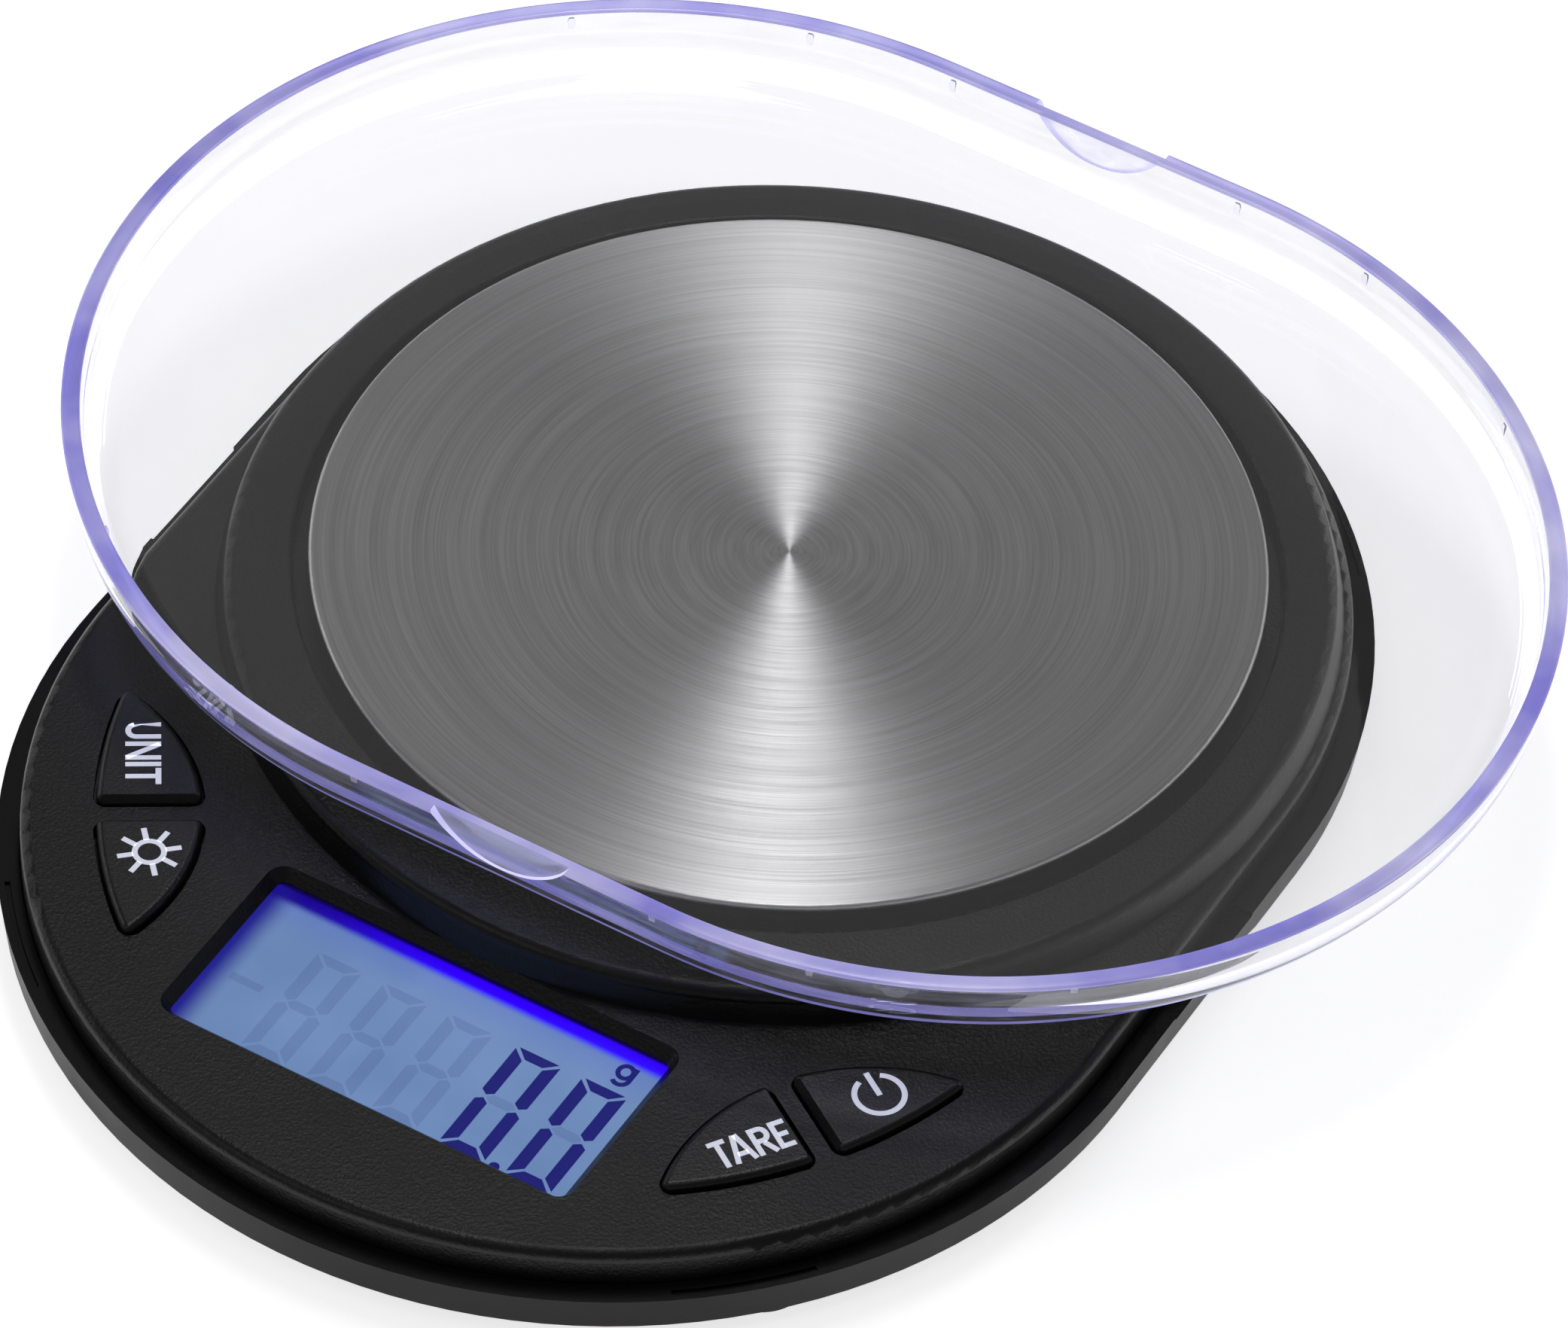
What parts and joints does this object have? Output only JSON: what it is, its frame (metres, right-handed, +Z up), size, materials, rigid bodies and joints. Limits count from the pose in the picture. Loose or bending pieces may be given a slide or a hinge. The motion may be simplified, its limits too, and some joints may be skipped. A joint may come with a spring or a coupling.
{
  "type": "digital gram scale",
  "caption": "Small battery-powered tabletop gram scale with a round steel pan, a backlit display, corner keys and a clear cover that turns over to stand on the pan as a bowl.",
  "frame": {"origin": "centre of the footprint of housing and cover together, on the table", "axes": "+X to the user's right, +Y away from the user, +Z up"},
  "size_m": [0.1372, 0.1404, 0.0214],
  "materials": {
    "black_shell": "fine spark grain",
    "base_shell": "satin",
    "key_plastic": "fine spark grain",
    "clear_cover": "clear moulded polystyrene with a violet cast in its edges",
    "clear_lens": "clear",
    "steel": "circular brushing",
    "adhesive": "double-sided foam tape",
    "aluminium": "milled",
    "gauge_film": "polyimide film",
    "sealant": "silicone",
    "lcd": "polarised, blue",
    "light_guide": "diffusing",
    "led": "clear resin",
    "white_plastic": "plain",
    "zebra_rubber": "layered",
    "board": "solder mask",
    "chip_resin": "epoxy",
    "ceramic": "fired",
    "tinned_can": "drawn can",
    "screw_steel": "zinc plated",
    "black_screw": "black oxide",
    "silicone": "translucent",
    "cell_can": "nickel plated",
    "contact": "nickel plated",
    "wire_red": "insulation",
    "wire_black": "insulation",
    "wire_green": "insulation",
    "wire_white": "insulation",
    "foot_rubber": "moulded",
    "label": "silver film"
  },
  "bodies": {
    "housing": {"lower_housing": "base_shell", "upper_housing": "black_shell", "load_cell": "aluminium", "strain_gauges": "gauge_film", "gauge_sealant": "sealant", "load_cell_screws": "screw_steel", "display_lens": "clear_lens", "lcd_glass": "lcd", "lcd_holder": "white_plastic", "zebra_strip": "zebra_rubber", "backlight_guide": "light_guide", "backlight_leds": "led", "main_board": "board", "chip_cover": "chip_resin", "board_capacitors": "ceramic", "board_crystal": "tinned_can", "board_screws": "screw_steel", "unit_dome": "silicone", "light_dome": "silicone", "tare_dome": "silicone", "power_dome": "silicone", "coin_cell_left": "cell_can", "coin_cell_right": "cell_can", "battery_spring_left": "contact", "battery_spring_right": "contact", "battery_link": "contact", "sensor_wire_red": "wire_red", "sensor_wire_black": "wire_black", "sensor_wire_green": "wire_green", "sensor_wire_white": "wire_white", "battery_wire_red": "wire_red", "battery_wire_black": "wire_black", "case_screws": "black_screw", "foot_front_left": "foot_rubber", "foot_front_right": "foot_rubber", "foot_rear_left": "foot_rubber", "foot_rear_right": "foot_rubber", "rating_label": "label"},
    "pan": {"weighing_pan": "steel", "pan_adhesive": "adhesive", "pan_carrier": "base_shell", "carrier_screws": "screw_steel"},
    "cover": {"clear_cover": "clear_cover"},
    "unit_button": {"unit_key": "key_plastic"},
    "light_button": {"light_key": "key_plastic"},
    "tare_button": {"tare_key": "key_plastic"},
    "power_button": {"power_key": "key_plastic"},
    "door": {"battery_door": "base_shell"}
  },
  "joints": [
    {"name": "pan_press", "type": "slide", "parent": "housing", "child": "pan", "axis": [0, 0, -1], "range_m": [0, 0.0006], "stiffness_N_per_m": 30000, "deforming": ["load_cell"]},
    {"name": "cover_lift", "type": "slide", "parent": "pan", "child": "cover", "axis": [0, 0, 1], "range_m": [0, 0.04]},
    {"name": "unit_press", "type": "slide", "parent": "housing", "child": "unit_button", "axis": [0, 0, -1], "range_m": [0, 0.0006], "stiffness_N_per_m": 2500, "deforming": ["unit_dome"]},
    {"name": "light_press", "type": "slide", "parent": "housing", "child": "light_button", "axis": [0, 0, -1], "range_m": [0, 0.0006], "stiffness_N_per_m": 2500, "deforming": ["light_dome"]},
    {"name": "tare_press", "type": "slide", "parent": "housing", "child": "tare_button", "axis": [0, 0, -1], "range_m": [0, 0.0006], "stiffness_N_per_m": 2500, "deforming": ["tare_dome"]},
    {"name": "power_press", "type": "slide", "parent": "housing", "child": "power_button", "axis": [0, 0, -1], "range_m": [0, 0.0006], "stiffness_N_per_m": 2500, "deforming": ["power_dome"]},
    {"name": "door_lift", "type": "slide", "parent": "housing", "child": "door", "axis": [0, 0, -1], "range_m": [0, 0.012]}
  ]
}
